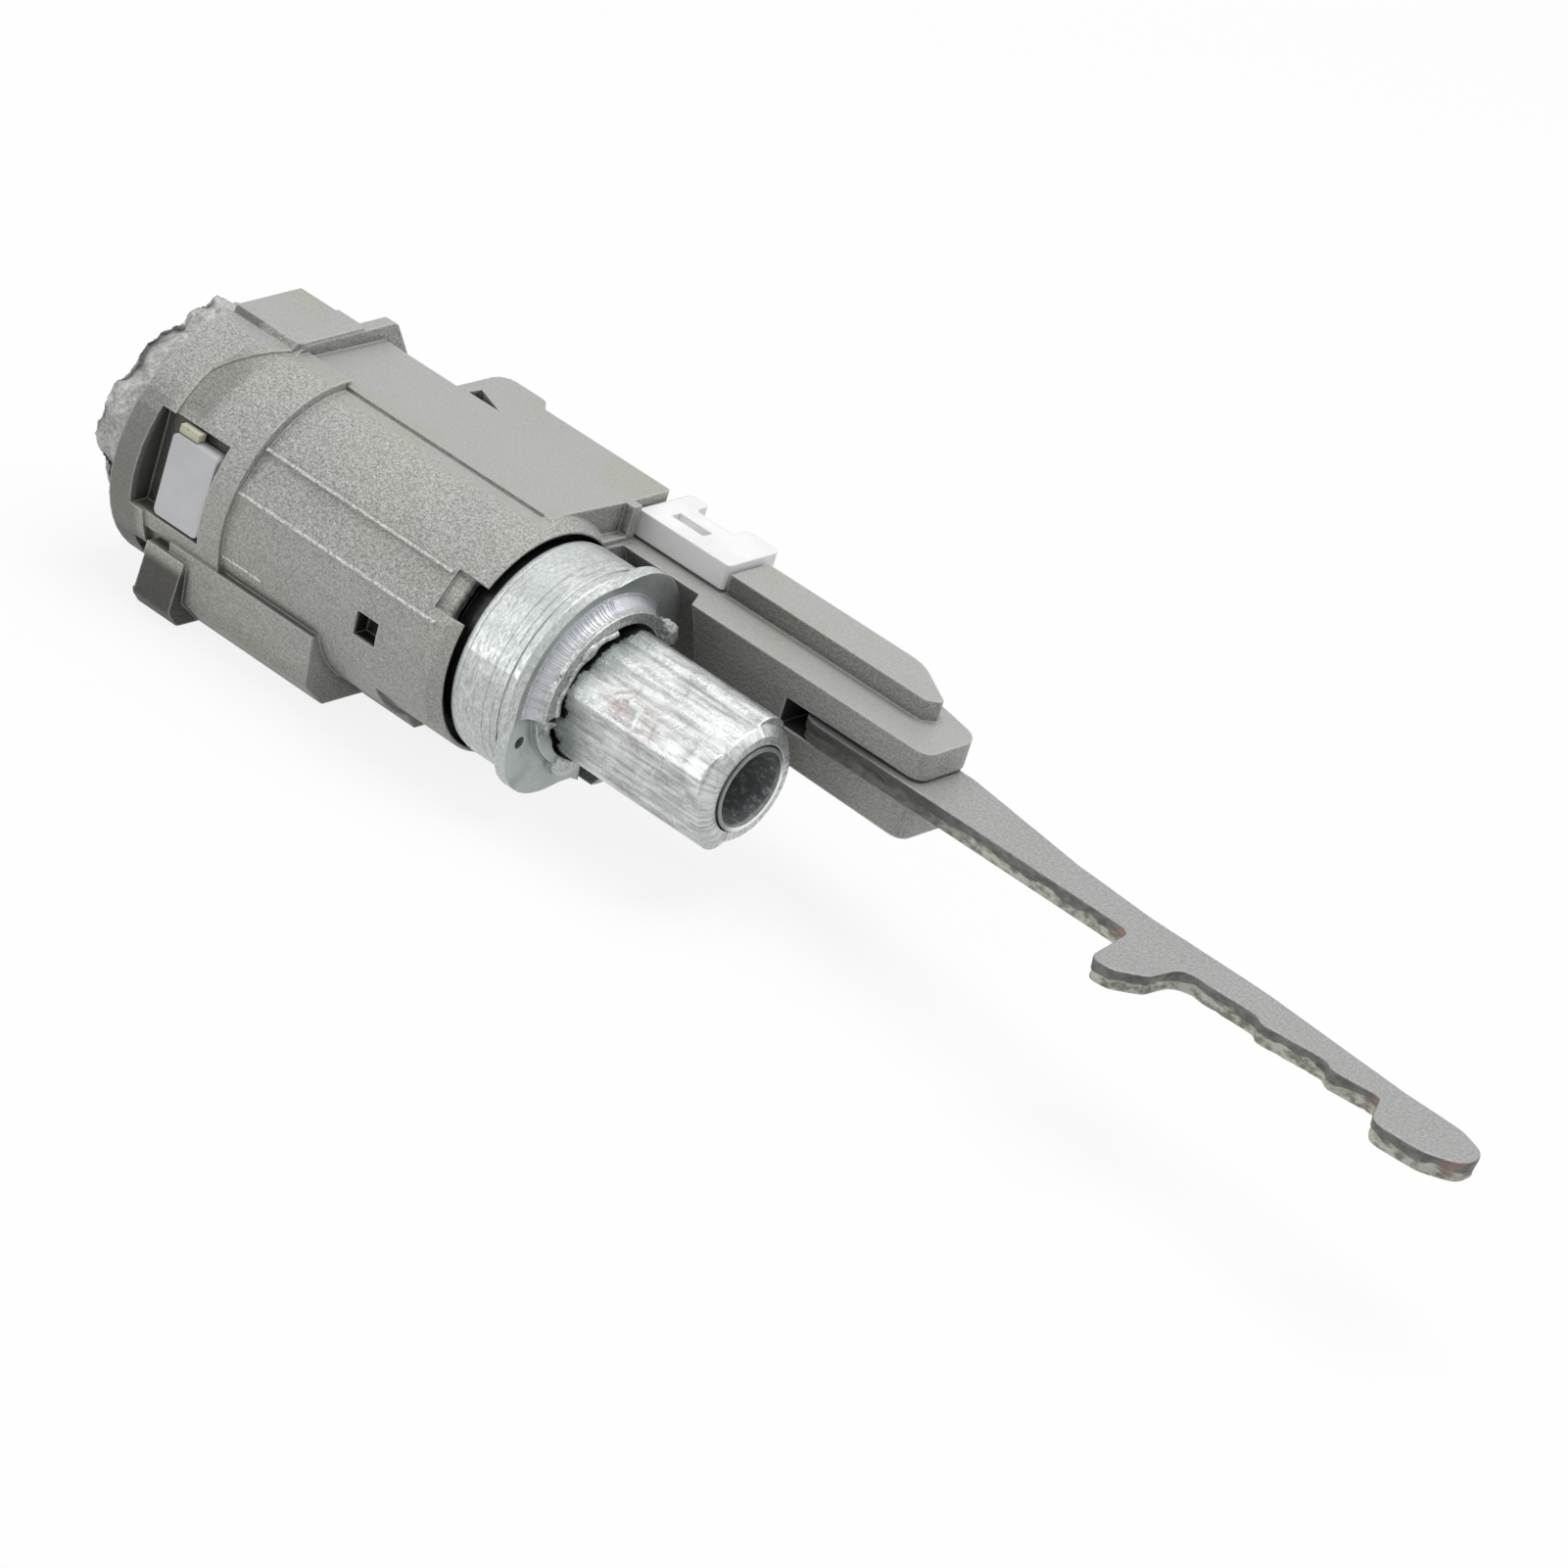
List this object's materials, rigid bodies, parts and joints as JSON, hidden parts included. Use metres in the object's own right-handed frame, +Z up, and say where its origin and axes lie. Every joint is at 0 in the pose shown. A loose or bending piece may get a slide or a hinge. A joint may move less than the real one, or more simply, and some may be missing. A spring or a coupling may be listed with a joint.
{
  "type": "ignition switch",
  "caption": "Cast ignition lock cylinder with a keyed rotor, driver ring, hollow output shaft and a long flat lock bar hinged in a side arm.",
  "frame": {"origin": "middle of the base, on the surface the lock lies on", "axes": "+X along the rotor axis from the key end to the tip of the lock bar, +Y towards the arm, +Z up"},
  "size_m": [0.1432, 0.031, 0.0259],
  "materials": {
    "cast_zinc": "sand-textured die casting, dull grey",
    "bright_zinc": "bright zinc with fine turning and wear marks",
    "bar_steel": "plain stamped steel",
    "spring_steel": "drawn wire",
    "brass": "stamped sheet",
    "white_plastic": "natural white moulding",
    "blue_white_plastic": "cool white moulding",
    "cream_plastic": "cream moulding"
  },
  "bodies": {
    "housing": {"lock_housing": "cast_zinc", "bar_pivot_pin": "bar_steel", "key_collar": "bright_zinc", "rear_holder": "white_plastic"},
    "rotor": {"key_plug": "bright_zinc", "driver_ring": "bright_zinc", "output_shaft": "bright_zinc", "shaft_liner": "bar_steel", "shutter_pin": "bar_steel", "shutter_spring": "spring_steel", "wafer_spring_1": "spring_steel", "wafer_spring_2": "spring_steel", "wafer_spring_3": "spring_steel", "wafer_spring_4": "spring_steel", "wafer_spring_5": "spring_steel", "wafer_spring_6": "spring_steel", "wafer_spring_7": "spring_steel", "wafer_spring_8": "spring_steel"},
    "shutter": {"dust_shutter": "bar_steel"},
    "wafer_1": {"wafer_1": "brass"},
    "wafer_2": {"wafer_2": "brass"},
    "wafer_3": {"wafer_3": "brass"},
    "wafer_4": {"wafer_4": "brass"},
    "wafer_5": {"wafer_5": "brass"},
    "wafer_6": {"wafer_6": "brass"},
    "wafer_7": {"wafer_7": "brass"},
    "wafer_8": {"wafer_8": "brass"},
    "slider": {"key_slider": "blue_white_plastic", "slider_cap": "cream_plastic"},
    "bar": {"lock_bar": "bar_steel"}
  },
  "joints": [
    {"name": "rotor_turn", "type": "hinge", "parent": "housing", "child": "rotor", "pos_m": [-0.0268, -0.00311, 0.0126], "axis": [1, 0, 0], "range_deg": [0, 90]},
    {"name": "shutter_swing", "type": "hinge", "parent": "rotor", "child": "shutter", "pos_m": [-0.06855, 0.00039, 0.0126], "axis": [0, 0, 1], "range_deg": [0, 70], "stiffness_Nm_per_rad": 0.001, "springref_deg": -22.92},
    {"name": "wafer_1_slide", "type": "slide", "parent": "rotor", "child": "wafer_1", "axis": [0, 0, 1], "range_m": [-0.0012, 0], "stiffness_N_per_m": 100, "springref_m": 0.001, "deforming": ["wafer_spring_1"]},
    {"name": "wafer_2_slide", "type": "slide", "parent": "rotor", "child": "wafer_2", "axis": [0, 0, 1], "range_m": [-0.0012, 0], "stiffness_N_per_m": 100, "springref_m": 0.001, "deforming": ["wafer_spring_2"]},
    {"name": "wafer_3_slide", "type": "slide", "parent": "rotor", "child": "wafer_3", "axis": [0, 0, 1], "range_m": [-0.0012, 0], "stiffness_N_per_m": 100, "springref_m": 0.001, "deforming": ["wafer_spring_3"]},
    {"name": "wafer_4_slide", "type": "slide", "parent": "rotor", "child": "wafer_4", "axis": [0, 0, 1], "range_m": [-0.0012, 0], "stiffness_N_per_m": 100, "springref_m": 0.001, "deforming": ["wafer_spring_4"]},
    {"name": "wafer_5_slide", "type": "slide", "parent": "rotor", "child": "wafer_5", "axis": [0, 0, 1], "range_m": [-0.0012, 0], "stiffness_N_per_m": 100, "springref_m": 0.001, "deforming": ["wafer_spring_5"]},
    {"name": "wafer_6_slide", "type": "slide", "parent": "rotor", "child": "wafer_6", "axis": [0, 0, 1], "range_m": [-0.0012, 0], "stiffness_N_per_m": 100, "springref_m": 0.001, "deforming": ["wafer_spring_6"]},
    {"name": "wafer_7_slide", "type": "slide", "parent": "rotor", "child": "wafer_7", "axis": [0, 0, 1], "range_m": [-0.0012, 0], "stiffness_N_per_m": 100, "springref_m": 0.001, "deforming": ["wafer_spring_7"]},
    {"name": "wafer_8_slide", "type": "slide", "parent": "rotor", "child": "wafer_8", "axis": [0, 0, 1], "range_m": [-0.0012, 0], "stiffness_N_per_m": 100, "springref_m": 0.001, "deforming": ["wafer_spring_8"]},
    {"name": "key_slider_slide", "type": "slide", "parent": "housing", "child": "slider", "axis": [-1, 0, 0], "range_m": [0, 0.0022], "stiffness_N_per_m": 200, "springref_m": -0.001},
    {"name": "bar_swing", "type": "hinge", "parent": "housing", "child": "bar", "pos_m": [0.0002, 0.00689, 0.0126], "axis": [0, 0, 1], "range_deg": [-4, 0]}
  ]
}
